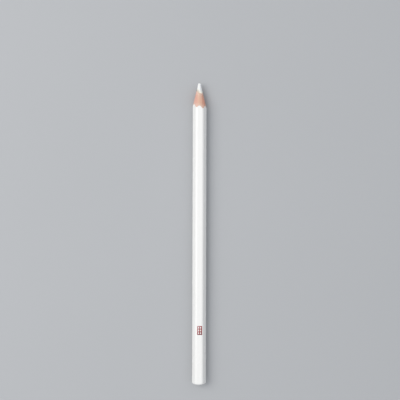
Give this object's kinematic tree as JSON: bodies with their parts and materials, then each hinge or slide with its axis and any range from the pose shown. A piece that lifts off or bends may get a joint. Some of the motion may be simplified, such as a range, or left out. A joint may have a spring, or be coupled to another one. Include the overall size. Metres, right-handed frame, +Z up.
{
  "type": "fabric marking pencil",
  "caption": "Straight hexagonal wood-cased pencil with a soft white core, sharpened at one end and dipped at the other, for drawing removable guide lines on dark cloth.",
  "frame": {"origin": "middle of the flat it rests on: halfway along its 175 mm length, halfway across the flat, on the lacquer", "axes": "+Y along the pencil from the dipped blunt end to the point, +Z up out of the opposite flat, which carries the printed mark, +X across two opposite corners, in the plane of the glued seam"},
  "size_m": [0.0082, 0.175, 0.0076],
  "materials": {
    "core_white": "matt, chalky pressed pigment with a sanded point",
    "casing_wood": "bare pinkish straight-grained wood where it is sharpened",
    "slat_glue": "dried wood glue",
    "primer": "matt off-white undercoat",
    "lacquer_white": "glossy white lacquer with a faint ripple",
    "dip_white": "thick glossy white lacquer dip",
    "mark_red": "thin dark red stamping foil"
  },
  "bodies": {
    "root": {"marking_core": "core_white", "casing_half_top": "casing_wood", "casing_half_bottom": "casing_wood", "seam_glue_left": "slat_glue", "seam_glue_right": "slat_glue", "core_bond_top": "slat_glue", "core_bond_bottom": "slat_glue", "primer_coat": "primer", "lacquer_coat": "lacquer_white", "end_dip": "dip_white", "printed_mark": "mark_red"}
  },
  "joints": []
}
